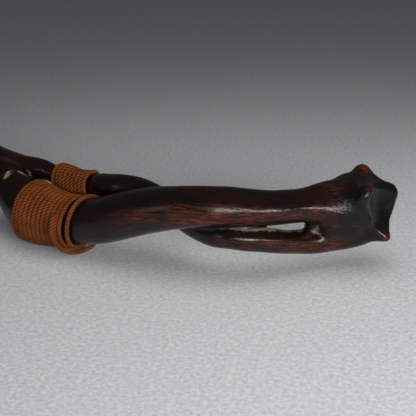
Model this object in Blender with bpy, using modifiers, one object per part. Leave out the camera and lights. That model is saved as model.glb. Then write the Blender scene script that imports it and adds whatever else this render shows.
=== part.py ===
"""Ruyi scepter of polished rootwood with a cord binding, lying on its back.

The head is at -X and the tail burl at +X. The floor that it lies on is z = 0.
"""

import math

import bmesh
import bpy
import numpy as np

# Overall size, in metres. Stations below are in 420ths of the length, so one is a millimetre here.
LENGTH = 0.420
UNIT = LENGTH / 420

# Wood: radii of the trunk and of its two strands, grain of the fused surface, its softening, the
# passes that settle it on the drawn limbs, and its size
TRUNK_RADIUS = 0.0125
FRONT_RADIUS = 0.0092
REAR_RADIUS = 0.0040
VOXEL = 0.0011
SOFTENING = 6
SETTLING = 8
WOOD_TRIANGLES = 5200

# Binding cord: its diameter, the room between turns, to the wood and where it crosses itself
CORD = 0.0018
FRONT_TURN_GAP = 0.0002
REAR_TURN_GAP = 0.0004
WINDING_GAP = 0.00055
CROSSING_GAP = 0.0002
FRONT_TURNS = 12
REAR_TURNS = 9
CORD_SIDES = 6

# Head
HEAD_LENGTH = 0.070
HEAD_WIDTH = 0.080
HEAD_THICKNESS = 0.015
HEAD_TILT = math.radians(25)

# Flat that the neck rests on: radius of the swelling that is cut flat, how deep it would reach below
# the floor, its station and how far it leans to the far side
FOOT_RADIUS = 0.011
FOOT_DEPTH = 0.003
FOOT_PLACE = -135
FOOT_ASIDE = 3.5

# The stem, from under the head to the burl: along, aside and up from the binding's axis, radius
STEM = (
    (-192, -2, 29, 0.62 * TRUNK_RADIUS),
    (-174, -3, 16, 0.78 * TRUNK_RADIUS),
    (-154, -4, 5, 0.90 * TRUNK_RADIUS),
    (-134, -4, 1.0, 0.94 * TRUNK_RADIUS),
    (-108, -3.5, 4.0, 0.84 * TRUNK_RADIUS),
    (-84, 0, 9.0, 0.92 * TRUNK_RADIUS),
    (-56, 3, 12.5, 0.84 * TRUNK_RADIUS),
    (-26, 8.5, 17.0, 0.92 * TRUNK_RADIUS),
    (8, 14.0, 17.0, 0.84 * TRUNK_RADIUS),
    (32, 13.0, 12.6, 0.84 * TRUNK_RADIUS),
    (44, 9.0, 9.0, 0.78 * TRUNK_RADIUS),
    (55, 2.8, 5.8, 0.68 * TRUNK_RADIUS),
    (60, -0.8, 2.2, 1.03 * FRONT_RADIUS),
    (65, -4.0, 0.6, 1.14 * FRONT_RADIUS),
    (70, -6.8, 0.3, 1.12 * FRONT_RADIUS),
    (76, -9.2, -0.1, 1.02 * FRONT_RADIUS),
    (90, -13.6, 0.9, 0.94 * FRONT_RADIUS),
    (98, -15.7, 3.1, 0.99 * FRONT_RADIUS),
    (108, -18.2, 7.0, 1.00 * FRONT_RADIUS),
    (119, -21.5, 11.0, 0.95 * FRONT_RADIUS),
    (130, -24.3, 14.0, 0.88 * FRONT_RADIUS),
    (148, -24.6, 15.7, 0.81 * FRONT_RADIUS),
    (165, -19.0, 14.4, 0.72 * FRONT_RADIUS),
    (176, -12.5, 13.8, 0.72 * FRONT_RADIUS),
    (186, -7.5, 13.6, 0.95 * FRONT_RADIUS),
    (196, -4.5, 13.0, 1.10 * FRONT_RADIUS),
    (203, -3.5, 12.5, 0.80 * FRONT_RADIUS),
)

# The rear strand winds round the stem: along, degrees from the far side, gap to the stem, radius
REAR = (
    (-186, 150, -9.0, 1.40 * REAR_RADIUS),
    (-150, 138, -10.5, 1.75 * REAR_RADIUS),
    (-110, 104, -9.5, 1.80 * REAR_RADIUS),
    (-70, 70, -10.0, 1.85 * REAR_RADIUS),
    (-30, 52, -10.0, 1.80 * REAR_RADIUS),
    (8, 50, -9.5, 1.75 * REAR_RADIUS),
    (30, 54, -12.0, 1.50 * REAR_RADIUS),
    (42, 31, -9.4, 1.50 * REAR_RADIUS),
    (49, 18, -4.0, 1.45 * REAR_RADIUS),
    (53, 22, 1.0, 1.18 * REAR_RADIUS),
    (56, 25, 4.3, 0.95 * REAR_RADIUS),
    (60, 27, 5.3, 0.96 * REAR_RADIUS),
    (66, 30, 5.3, 0.93 * REAR_RADIUS),
    (74, 31, 5.5, 0.94 * REAR_RADIUS),
    (82, 33, 5.9, 0.99 * REAR_RADIUS),
    (87, 34, 5.4, 1.10 * REAR_RADIUS),
    (92, 37, 4.0, 1.22 * REAR_RADIUS),
    (98, 37, 1.9, 1.30 * REAR_RADIUS),
    (102, 36, 0.8, 1.32 * REAR_RADIUS),
    (107, 27, 0.2, 1.30 * REAR_RADIUS),
    (114, 6, -0.5, 1.26 * REAR_RADIUS),
    (126, -37, -0.8, 1.22 * REAR_RADIUS),
    (138, -70, -0.6, 1.15 * REAR_RADIUS),
    (147, -97, -0.2, 1.05 * REAR_RADIUS),
    (156, -107, 0.8, 1.04 * REAR_RADIUS),
    (165, -103, 1.9, 1.06 * REAR_RADIUS),
    (172, -96, 3.1, 1.12 * REAR_RADIUS),
    (179, -92, 2.5, 1.26 * REAR_RADIUS),
    (186, -92, -0.8, 1.42 * REAR_RADIUS),
    (194, -94, -3.8, 1.40 * REAR_RADIUS),
    (200, -96, -5.2, 1.20 * REAR_RADIUS),
)

# Burl knobs: tip along, aside and up, radius at the tip and at the burl's centre, where all begin
BURL_CENTRE = (195, -4, 12)
KNOBS = (
    (196.4, 3.5, 25.6, 2.8, 8.5),
    (189.0, 0.0, 22.0, 4.0, 8.0),
    (209.4, 3.5, 16.4, 3.0, 8.5),
    (209.2, -10.2, 1.4, 2.8, 5.0),
    (200.7, -17.0, 22.8, 3.2, 7.0),
    (203.5, 6.5, 4.0, 3.4, 8.0),
    (196.5, -8.0, -1.0, 3.6, 8.0),
)

# Ridges between knobs: from, to, radius, and how far they lie in from the tips
RIDGES = (
    (0, 2, 2.6, 0.22),
    (2, 3, 2.4, 0.22),
    (2, 5, 3.0, 0.25),
    (5, 3, 3.0, 0.25),
    (6, 3, 2.8, 0.22),
    (0, 4, 2.2, 0.30),
)

# Where wood fills the clefts between limbs: from, to, radius, softness
WEBS = (
    ((179.4, -10.5, 6.0), (197.0, -7.0, 8.0), 3.3, 2.5),
    ((187.0, -11.0, 6.0), (198.0, -8.5, 6.0), 5.0, 2.5),
    ((0.0, 16.0, 21.0), (58.0, 4.2, 11.0), 5.8, 1.0),
    ((40.0, 12.0, 10.0), (57.5, 16.0, 8.6), 3.3, 1.2),
)

# The worn dish in the burl's end: along, aside, up, radius
DISHES = ((213.4, -12.4, 16.2, 13.2), (212.4, -12.8, 10.6, 9.6))

# Twig stubs on the trunk: along, degrees from the far side, length, tip radius and root radius
STUBS = (
    (-106, 30, 5.0, 2.8, 5.6),
    (-70, 150, 5.0, 3.0, 6.0),
    (-34, 70, 5.5, 2.6, 5.2),
    (2, 205, 4.5, 2.8, 5.6),
)
STUB_LEAN = 0.3

# How softly limbs grow together: for the two strands by station, and for knobs, ridges, stubs, dishes
MERGING = ((-190, 3), (30, 3), (45, 2), (52, 0.6), (165, 0.6), (176, 2), (186, 5))
KNOB_SOFTNESS = 4.0
RIDGE_SOFTNESS = 3.0
STUB_SOFTNESS = 4.0
DISH_SOFTNESS = 3.0

# A short limb narrows on this power of what is left of it, and is measured from so many balls; a
# strand has a ball every so many units
NARROWING = 1.4
LIMB_BALLS = 24
STRAND_STEP = 1.0

# The surface settles by at most this much in a pass and evens itself out by this share. Above the
# neck it keeps its first shape, and below it it settles more and more over some length
LARGEST_STEP = 0.8
EVENING = 0.35
NECK_PLACE = -152
NECK_FADE = 10

# Where the windings start, along the stem, and how far short of a full turn the first end is tucked
FRONT_START = 64.5
REAR_START = 60.3
TUCK = 210

# The cord past the windings: degrees from the far side, units past the end of the front winding
# or the start of the rear one, and layers of cord that it lies on. A single wider turn goes up
# between the strands, the way in runs back below the rear winding to its start, and the last
# stretch goes out from it, dives between the strands and comes up over the front winding's end.
LONE_TURN = (
    (180, 0.0, 0), (90, 0.6, 0), (0, 1.2, 0), (-100, 2.4, 0), (-180, 3.5, 0), (-260, 4.1, 0),
    (-335, 5.7, 0),
)
WAY_IN = (
    (267, 20, 2.0), (279, 14, 1.5), (292, 8, 1.2), (310, 3, 1.2), (345, -0.9, 0.9), (395, -1.0, 0.2),
    (440, -0.7, 0),
)
WAY_OUT = ((225, 0, 0), (250, 3.0, 0), (280, 7.0, 0.1))
DIVE = (
    (-8, 7.5, 1.3), (-30, 7.6, 0.7), (-62, 6.4, 0.1), (-84, 4.2, 0.8), (-104, 1.8, 1.1),
    (-125, 0.3, 1.05), (-180, -1.8, 1.0), (-212, -1.6, 0.95),
)

# Degrees between the cord's points: round the front strand, round the rear one, and on the way in
FRONT_STEP = 18
REAR_STEP = 30
WAY_IN_STEP = 15

# Section of the strands: depth of the flutes, their twist in degrees per station unit, and the
# binding's middle and half length, under which they fade out
FLUTE_DEPTH = 0.035
FLUTE_TWIST = 0.9
BOUND_MIDDLE = 77
BOUND_HALF = 15

# Head: centre, the three round lobes of its outline (forward, across, radius, as shares of half
# its length and width), how far their meeting lines are filled, and its profile as shares of
# outline and thickness
HEAD_CENTRE = (-180, -2, 34)
HEAD_LOBES = ((0.34, 0.0, 0.66), (-0.34, 0.46, 0.54), (-0.34, -0.46, 0.54))
HEAD_FILL = 14
HEAD_PROFILE = (
    (0.00, -0.30),
    (0.45, -0.34),
    (0.80, -0.26),
    (0.96, -0.06),
    (1.00, 0.16),
    (0.97, 0.36),
    (0.88, 0.47),
    (0.78, 0.46),
    (0.70, 0.40),
    (0.60, 0.46),
    (0.40, 0.61),
    (0.18, 0.69),
    (0.00, 0.70),
)

WOOD_COLOUR = (0.035, 0.012, 0.007)
WOOD_ROUGHNESS = 0.2
CORD_COLOUR = (0.25, 0.10, 0.04)
CORD_ROUGHNESS = 0.85


def smooth(stations, along):
    """Values of a table of stations at places along the scepter, on one smooth curve."""
    table = np.array(stations, dtype=float)
    key = table[:, 0]
    value = table[:, 1:]
    slope = np.gradient(value, key, axis=0)
    at = np.clip(np.atleast_1d(along), key[0], key[-1])
    low = np.clip(np.searchsorted(key, at, side="right") - 1, 0, len(key) - 2)
    width = key[low + 1] - key[low]
    t = ((at - key[low]) / width)[:, None]
    width = width[:, None]
    return (
        (2 * t**3 - 3 * t**2 + 1) * value[low]
        + (t**3 - 2 * t**2 + t) * width * slope[low]
        + (3 * t**2 - 2 * t**3) * value[low + 1]
        + (t**3 - t**2) * width * slope[low + 1]
    )


def stem_axis(along):
    """Centre and radius of the stem, in metres, with up measured from the binding's axis."""
    values = smooth(STEM, along)
    centre = np.column_stack((np.atleast_1d(along), values[:, 0], values[:, 1])) * UNIT
    return centre, values[:, 2]


def frames(axis, along, reach=0.5):
    """Unit vectors along a strand, to its far side and upward, from its run within reach units."""
    tangent = axis(along + reach)[0] - axis(along - reach)[0]
    tangent /= np.linalg.norm(tangent, axis=1)[:, None]
    aside = np.cross((0.0, 0.0, 1.0), tangent)
    aside /= np.linalg.norm(aside, axis=1)[:, None]
    return tangent, aside, np.cross(tangent, aside)


def rear_axis(along):
    """Centre and radius of the rear strand, which winds round the stem."""
    centre, girth = stem_axis(along)
    tangent, aside, up = frames(stem_axis, along)
    angle, gap, radius = smooth(REAR, along).T
    angle = np.radians(angle)[:, None]
    spacing = (girth + radius + gap * UNIT)[:, None]
    return centre + spacing * (np.cos(angle) * aside + np.sin(angle) * up), radius


def around(axis, along, angle, height, plane=None):
    """Points at an angle round a strand, at a height over its surface.

    They lie square to the strand, or in planes that are square to a whole winding.
    """
    centre, radius = axis(along)
    tangent, aside, up = frames(axis, along)
    if plane is not None:
        middle, reach = plane
        aside, up = frames(axis, np.array([middle]), reach)[1:]
    angle = np.radians(angle)[:, None]
    out = np.cos(angle) * aside + np.sin(angle) * up
    slant = np.sqrt(1 - (out * tangent).sum(axis=1) ** 2)
    return centre + ((radius + height) / slant)[:, None] * out


def add_rings(shape, rings):
    """Skin a row of rings, whose first and last are single points, as one closed surface."""
    loops = [[shape.verts.new(point) for point in ring] for ring in rings]
    for one, two in zip(loops, loops[1:]):
        count = max(len(one), len(two))
        for i in range(count):
            j = (i + 1) % count
            if len(one) == 1:
                shape.faces.new((one[0], two[i], two[j]))
            elif len(two) == 1:
                shape.faces.new((one[i], two[0], one[j]))
            else:
                shape.faces.new((one[i], two[i], two[j], one[j]))


def add_strand(shape, axis, first, last, sides, step=2.5):
    """Strand along an axis, softly three-sided with a slow twist, with a round end at each end."""
    along = np.linspace(first, last, round((last - first) / step) + 1)
    centre, radius = axis(along)
    tangent, aside, up = frames(axis, along)
    turn = np.arange(sides) * 2 * math.pi / sides
    twist = along * math.radians(FLUTE_TWIST)
    depth = FLUTE_DEPTH * np.clip(np.abs(along - BOUND_MIDDLE) / BOUND_HALF - 1, 0, 1)
    flute = 1 + depth[:, None] * np.cos(3 * (turn[None, :] - twist[:, None]))
    out = (
        np.cos(turn)[None, :, None] * aside[:, None, :]
        + np.sin(turn)[None, :, None] * up[:, None, :]
    )
    rings = list(centre[:, None, :] + (radius[:, None] * flute)[:, :, None] * out)
    for end, way in ((0, -1), (-1, 1)):
        cap = []
        for bend in (30, 60):
            shrink = math.cos(math.radians(bend))
            push = math.sin(math.radians(bend)) * radius[end] * way * tangent[end]
            cap.append(centre[end] + push + (rings[end] - centre[end]) * shrink)
        cap.append([centre[end] + way * radius[end] * tangent[end]])
        if way < 0:
            rings = cap[::-1] + rings
        else:
            rings = rings + cap
    add_rings(shape, rings)


def add_limb(shape, inner, outer, inner_radius, outer_radius, sides=16, sections=8):
    """Short limb with a round tip, narrowing on its way from a place inside the wood outward."""
    way = outer - inner
    length = np.linalg.norm(way)
    way = way / length
    across = np.cross(way, (0.3, 0.9, 0.2))
    across /= np.linalg.norm(across)
    other = np.cross(way, across)
    share = np.linspace(0, 1, sections)
    radii = outer_radius + (inner_radius - outer_radius) * (1 - share) ** NARROWING
    outline = list(zip(share * (length - outer_radius), radii))
    for bend in (math.radians(30), math.radians(60)):
        outline.append((length - outer_radius * (1 - math.sin(bend)), outer_radius * math.cos(bend)))
    rings = [[inner - way * inner_radius / 2]]
    for reach, radius in outline:
        rings.append([
            inner + way * reach + radius * (math.cos(turn) * across + math.sin(turn) * other)
            for turn in np.arange(sides) * 2 * math.pi / sides
        ])
    rings.append([inner + way * length])
    add_rings(shape, rings)


def head_outline(turn):
    """Distance from the head's centre to its outline, the outer edge of three round lobes."""
    total = np.zeros(len(turn))
    for forward, across, radius in HEAD_LOBES:
        near = forward * np.cos(turn) + across * np.sin(turn)
        room = radius**2 - forward**2 - across**2 + near**2
        reach = near + np.sqrt(np.maximum(room, 0))
        total += np.where((room > 0) & (reach > 0), np.abs(reach), 0) ** HEAD_FILL
    return total ** (1 / HEAD_FILL)


def add_head(shape, sides=72):
    """Three-lobed head, a domed plate with a rolled rim, tilted to look up and towards the tail."""
    centre = np.array(HEAD_CENTRE) * UNIT
    forward = np.array((-math.cos(HEAD_TILT), 0, math.sin(HEAD_TILT)))
    across = np.array((0, 1, 0))
    face = np.cross(across, forward)
    turn = np.arange(sides) * 2 * math.pi / sides
    reach = head_outline(turn)
    plan = (
        (reach * np.cos(turn) * HEAD_LENGTH / 2)[:, None] * forward
        + (reach * np.sin(turn) * HEAD_WIDTH / 2)[:, None] * across
    )
    rings = []
    for share, height in HEAD_PROFILE:
        middle = centre + face * height * HEAD_THICKNESS
        rings.append([middle] if share == 0 else list(middle + plan * share))
    add_rings(shape, rings)


def short_limbs(lift):
    """Knobs, ridges, webs, stubs and foot: both ends, the radii there and the softness, in metres."""
    burl = np.array(BURL_CENTRE) * UNIT
    tips = [np.array(knob[:3]) * UNIT for knob in KNOBS]
    limbs = []
    for tip, knob in zip(tips, KNOBS):
        limbs.append((burl, tip, knob[4] * UNIT, knob[3] * UNIT, KNOB_SOFTNESS * UNIT))
    for one, two, radius, sink in RIDGES:
        inner = tips[one] + (burl - tips[one]) * sink
        outer = tips[two] + (burl - tips[two]) * sink
        limbs.append((inner, outer, radius * UNIT, radius * UNIT, RIDGE_SOFTNESS * UNIT))
    for inner, outer, radius, softness in WEBS:
        inner = np.array(inner) * UNIT
        outer = np.array(outer) * UNIT
        limbs.append((inner, outer, radius * UNIT, radius * UNIT, softness * UNIT))
    for place, angle, length, tip_radius, root_radius in STUBS:
        root = stem_axis(place)[0][0]
        leaning = np.array([place + length * STUB_LEAN])
        tip = around(stem_axis, leaning, np.array([angle]), length * UNIT)[0]
        limbs.append((root, tip, root_radius * UNIT, tip_radius * UNIT, STUB_SOFTNESS * UNIT))
    heel = stem_axis(FOOT_PLACE)[0][0]
    sole = np.array((heel[0], FOOT_ASIDE * UNIT, -FOOT_DEPTH - lift))
    limbs.append((heel, sole, FOOT_RADIUS, FOOT_RADIUS, STUB_SOFTNESS * UNIT))
    return limbs


def wood_rough(lift):
    """All the limbs of the wood, still overlapping one another."""
    shape = bmesh.new()
    add_strand(shape, stem_axis, STEM[0][0], STEM[-1][0], sides=28)
    add_strand(shape, rear_axis, REAR[0][0], REAR[-1][0], sides=20)
    for inner, outer, inner_radius, outer_radius, _ in short_limbs(lift):
        add_limb(shape, inner, outer, inner_radius, outer_radius)
    add_head(shape)
    bmesh.ops.recalc_face_normals(shape, faces=shape.faces)
    return shape


def balls_along(axis, table):
    """A row of balls that fills a strand, as centres and radii."""
    return axis(np.arange(table[0][0], table[-1][0] + STRAND_STEP / 2, STRAND_STEP))


def balls_between(inner, outer, inner_radius, outer_radius):
    """A row of balls that fills a short limb, as centres and radii."""
    share = np.linspace(0, 1, LIMB_BALLS)
    reach = share * (1 - outer_radius / np.linalg.norm(outer - inner))
    radius = outer_radius + (inner_radius - outer_radius) * (1 - share) ** NARROWING
    return inner + reach[:, None] * (outer - inner), radius


def from_balls(points, balls):
    """Height of each point over a row of balls, the way out of them, and the nearest ball."""
    centre, radius = balls
    least = np.full(len(points), np.inf)
    nearest = np.zeros(len(points), dtype=int)
    for index in range(len(centre)):
        distance = np.sqrt(((points - centre[index]) ** 2).sum(axis=1)) - radius[index]
        nearer = distance < least
        least[nearer] = distance[nearer]
        nearest[nearer] = index
    away = points - centre[nearest]
    return least, away / np.linalg.norm(away, axis=1)[:, None], nearest


def grown_together(one, two, softness):
    """Soft union of two surfaces, each given as heights over it and ways out of it."""
    share = np.clip(0.5 + 0.5 * (two[0] - one[0]) / softness, 0, 1)
    height = two[0] + (one[0] - two[0]) * share - softness * share * (1 - share)
    return height, two[1] + (one[1] - two[1]) * share[:, None]


def wood_height(points, lift):
    """Height of each point over the finished wood, and the way out of it."""
    stem_height, stem_way, nearest = from_balls(points, balls_along(stem_axis, STEM))
    rear_height, rear_way, _ = from_balls(points, balls_along(rear_axis, REAR))
    stations, softness = np.array(MERGING).T
    softness = np.interp(STEM[0][0] + nearest * STRAND_STEP, stations, softness) * UNIT
    field = grown_together((stem_height, stem_way), (rear_height, rear_way), softness)
    for inner, outer, inner_radius, outer_radius, softness in short_limbs(lift):
        limb = from_balls(points, balls_between(inner, outer, inner_radius, outer_radius))
        field = grown_together(field, limb[:2], softness)
    for along, aside, up, radius in DISHES:
        height, way, _ = from_balls(points, (np.array([(along, aside, up)]) * UNIT, [radius * UNIT]))
        inverse = grown_together((-field[0], -field[1]), (height, way), DISH_SOFTNESS * UNIT)
        field = (-inverse[0], -inverse[1])
    return field


def new_object(name, mesh, collection):
    """A mesh as a named object of a collection."""
    piece = bpy.data.objects.new(name, mesh)
    collection.objects.link(piece)
    return piece


def settled(piece):
    """The piece's mesh with its modifiers applied, as a new mesh."""
    bpy.context.view_layer.update()
    view = bpy.context.evaluated_depsgraph_get()
    return bpy.data.meshes.new_from_object(piece.evaluated_get(view))


def mesh_points(mesh):
    """The mesh's points as rows of numbers."""
    flat = np.empty(len(mesh.vertices) * 3, dtype=np.float32)
    mesh.vertices.foreach_get("co", flat)
    return flat.reshape(-1, 3).astype(float)


def neighbour_mean(mesh):
    """A function that gives each point the mean of its neighbours."""
    ends = np.empty(len(mesh.edges) * 2, dtype=np.int32)
    mesh.edges.foreach_get("vertices", ends)
    one, two = ends.reshape(-1, 2).T
    source = np.concatenate((one, two))
    other = np.concatenate((two, one))
    count = np.bincount(source, minlength=len(mesh.vertices))

    def mean(points):
        total = [np.bincount(source, points[other, axis], len(count)) / count for axis in range(3)]
        return np.column_stack(total)

    return mean


def sculpt(mesh, lift):
    """Soften the fused limbs, then settle them on one smooth surface, rounded to a tenth of a micron."""
    points = mesh_points(mesh)
    mean = neighbour_mean(mesh)
    for _ in range(SOFTENING):
        points = (points + mean(points)) / 2
    neck = np.array([NECK_PLACE])
    below = ((points - stem_axis(neck)[0]) * frames(stem_axis, neck)[0]).sum(axis=1)
    share = np.clip(below / (NECK_FADE * UNIT), 0, 1)[:, None]
    largest = LARGEST_STEP * UNIT
    for _ in range(SETTLING):
        height, way = wood_height(points, lift)
        step = (height / (way**2).sum(axis=1))[:, None] * way * share
        points = points - np.clip(step, -largest, largest)
        points = points + (mean(points) - points) * EVENING
    mesh.vertices.foreach_set("co", np.round(points, 7).astype(np.float32).ravel())
    mesh.update()


def floor_cutter(cutters):
    """The block below the floor, which cuts the foot flat."""
    width = 6 * FOOT_RADIUS
    depth = 2 * FOOT_RADIUS
    box = bmesh.new()
    bmesh.ops.create_cube(box, size=1.0)
    bmesh.ops.scale(box, vec=(width, width, depth), verts=box.verts)
    bmesh.ops.translate(box, vec=(0, 0, -depth / 2), verts=box.verts)
    mesh = bpy.data.meshes.new("floor_cut")
    box.to_mesh(mesh)
    box.free()
    cutter = new_object("floor_cut", mesh, cutters)
    cutter.location = (FOOT_PLACE * UNIT, 0, 0)
    cutter.hide_render = True
    cutter.display_type = "WIRE"
    return cutter


def make_wood(collection, cutters, lift):
    """The limbs fused and sculpted into one piece, with its foot cut flat on the floor."""
    shape = wood_rough(lift)
    mesh = bpy.data.meshes.new("scepter_wood")
    shape.to_mesh(mesh)
    shape.free()
    wood = new_object("scepter_wood", mesh, collection)
    fuse = wood.modifiers.new("fuse", "REMESH")
    fuse.mode = "VOXEL"
    fuse.voxel_size = VOXEL
    fused = settled(wood)
    wood.modifiers.clear()
    sculpt(fused, lift)
    wood.data = fused
    wood.location = (0, 0, lift)
    thin = wood.modifiers.new("thin", "DECIMATE")
    thin.ratio = WOOD_TRIANGLES / (2 * len(fused.polygons))
    thin.use_collapse_triangulate = True
    level = wood.modifiers.new("level", "BOOLEAN")
    level.operation = "DIFFERENCE"
    level.solver = "EXACT"
    level.object = floor_cutter(cutters)
    return wood


def wind(axis, plane, rows, step):
    """The cord's points round a strand, from rows of degrees, station and layers of cord beneath."""
    rows = np.array(rows, dtype=float)
    travel = np.concatenate(([0], np.cumsum(np.abs(np.diff(rows[:, 0])))))
    at = np.linspace(0, travel[-1], round(travel[-1] / step) + 1)
    angle, along, layers = smooth(np.column_stack((travel, rows)), at).T
    height = WINDING_GAP + CORD / 2 + (CORD + CROSSING_GAP) * layers
    return around(axis, along, angle, height, plane)


def plane_of(axis, start, length):
    """Middle and half, in units, of a winding's run along a strand; its turns lie square to that run."""
    along = start + np.array((0, length / UNIT))
    run = np.linalg.norm(np.diff(axis(along)[0], axis=0))
    half = length / run * (along[1] - along[0]) / 2
    return start + half, half


def coil(axis, plane, start, pitch, first, last, step, marks=200):
    """The cord's points on a winding with evenly spaced turns, and the station where it ends."""
    middle, half = plane
    way = frames(axis, np.array([middle]), half)[0][0]
    stations = np.linspace(start, middle + 2 * half, marks)
    reach = ((axis(stations)[0] - axis(stations[:1])[0]) * way).sum(axis=1)
    angle = np.linspace(first, last, round(abs(last - first) / step) + 1)
    along = np.interp(pitch * np.abs(angle - first) / 360, reach, stations)
    return around(axis, along, angle, WINDING_GAP + CORD / 2, plane), along[-1]


def past(station, rows):
    """Rows of a stretch of cord with their stations counted from the head instead."""
    return [(turn, station + further, layers) for turn, further, layers in rows]


def cord_route():
    """The cord from the fork side of the front winding to its end, tucked in over that winding."""
    front_pitch = CORD + FRONT_TURN_GAP
    rear_pitch = CORD + REAR_TURN_GAP
    front_plane = plane_of(stem_axis, FRONT_START, FRONT_TURNS * front_pitch)
    rear_plane = plane_of(rear_axis, REAR_START, REAR_TURNS * rear_pitch)
    tucked = LONE_TURN[0][0] + 360 * FRONT_TURNS - TUCK
    front, front_end = coil(
        stem_axis, front_plane, FRONT_START, front_pitch, tucked, LONE_TURN[0][0], FRONT_STEP
    )
    first, back, _ = WAY_IN[-1]
    last = WAY_OUT[0][0] + 360 * REAR_TURNS
    rear, rear_end = coil(rear_axis, rear_plane, REAR_START + back, rear_pitch, first, last, REAR_STEP)
    lone = wind(stem_axis, front_plane, past(front_end, LONE_TURN), FRONT_STEP)
    way_in = wind(rear_axis, rear_plane, past(REAR_START, WAY_IN), WAY_IN_STEP)
    way_out = wind(rear_axis, rear_plane, past(rear_end, WAY_OUT), FRONT_STEP)
    dive = wind(stem_axis, front_plane, past(front_end, DIVE), FRONT_STEP)
    return np.concatenate((front, lone[1:], way_in, rear[1:], way_out[1:], dive))


def make_cord(collection, route, lift):
    """The cord as one round tube along its route, closed at both ends."""
    line = bpy.data.curves.new("binding_cord", "CURVE")
    line.dimensions = "3D"
    line.bevel_depth = CORD / 2
    line.bevel_resolution = CORD_SIDES // 2 - 2
    line.use_fill_caps = True
    spline = line.splines.new("POLY")
    spline.points.add(len(route) - 1)
    for point, place in zip(spline.points, route):
        point.co = (*place, 1.0)
    guide = bpy.data.objects.new("cord_line", line)
    collection.objects.link(guide)
    mesh = settled(guide)
    bpy.data.objects.remove(guide)
    shape = bmesh.new()
    shape.from_mesh(mesh)
    bmesh.ops.remove_doubles(shape, verts=shape.verts, dist=CORD / 180)
    bmesh.ops.recalc_face_normals(shape, faces=shape.faces)
    shape.to_mesh(mesh)
    shape.free()
    cord = new_object("binding_cord", mesh, collection)
    cord.location = (0, 0, lift)
    return cord


def finish(piece, colour, roughness):
    """Give a piece its own plain material."""
    material = bpy.data.materials.new(piece.name)
    material.use_nodes = True
    shader = material.node_tree.nodes["Principled BSDF"]
    shader.inputs["Base Color"].default_value = (*colour, 1)
    shader.inputs["Roughness"].default_value = roughness
    piece.data.materials.clear()
    piece.data.materials.append(material)


def centre_all(collection, widest, pieces):
    """Hang the pieces on an empty, so that the middle of the widest one's plan is at the origin."""
    plan = mesh_points(settled(widest))[:, :2]
    middle = (plan.min(axis=0) + plan.max(axis=0)) / 2
    place = bpy.data.objects.new("resting_place", None)
    place.location = (-middle[0], -middle[1], 0)
    collection.objects.link(place)
    for piece in pieces:
        piece.parent = place


def main():
    for old in list(bpy.data.objects):
        bpy.data.objects.remove(old)
    scepter = bpy.data.collections.new("ruyi_scepter")
    cutters = bpy.data.collections.new("cutters")
    bpy.context.scene.collection.children.link(scepter)
    bpy.context.scene.collection.children.link(cutters)
    route = cord_route()
    lift = CORD / 2 - route[:, 2].min()
    cord = make_cord(scepter, route, lift)
    wood = make_wood(scepter, cutters, lift)
    finish(wood, WOOD_COLOUR, WOOD_ROUGHNESS)
    finish(cord, CORD_COLOUR, CORD_ROUGHNESS)
    centre_all(scepter, wood, [cord, wood, *cutters.objects])


main()
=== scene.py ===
"""The looks of a rootwood ruyi scepter with a cord binding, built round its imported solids.

The head is at -X, the tail burl at +X, and the floor is z = 0.
"""

import math

import bmesh
import bpy
import numpy as np
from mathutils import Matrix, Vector


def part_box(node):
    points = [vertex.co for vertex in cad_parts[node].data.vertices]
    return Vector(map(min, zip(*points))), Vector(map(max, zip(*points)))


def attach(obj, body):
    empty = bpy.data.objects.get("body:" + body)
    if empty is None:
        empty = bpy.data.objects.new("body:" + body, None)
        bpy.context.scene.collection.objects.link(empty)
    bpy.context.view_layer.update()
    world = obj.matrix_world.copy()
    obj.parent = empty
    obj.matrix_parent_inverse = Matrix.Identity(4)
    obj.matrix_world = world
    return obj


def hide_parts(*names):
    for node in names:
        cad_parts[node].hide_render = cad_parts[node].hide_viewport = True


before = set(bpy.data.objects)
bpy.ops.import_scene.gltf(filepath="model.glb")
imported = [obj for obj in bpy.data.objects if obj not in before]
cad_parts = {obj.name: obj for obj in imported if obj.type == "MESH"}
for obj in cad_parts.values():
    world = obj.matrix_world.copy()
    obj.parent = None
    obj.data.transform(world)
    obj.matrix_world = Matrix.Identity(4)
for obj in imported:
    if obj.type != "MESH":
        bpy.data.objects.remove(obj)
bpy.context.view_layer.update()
MM = 0.001

# The binding's route
# One long brown cord, laid in tight turns round the front strand and then round the rear one. The
# winding is put on over the wood's own shape, so the run of both strands comes first.
TRUNK_RADIUS = 12.5 * MM
FRONT_RADIUS = 9.2 * MM
REAR_RADIUS = 4.0 * MM

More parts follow.
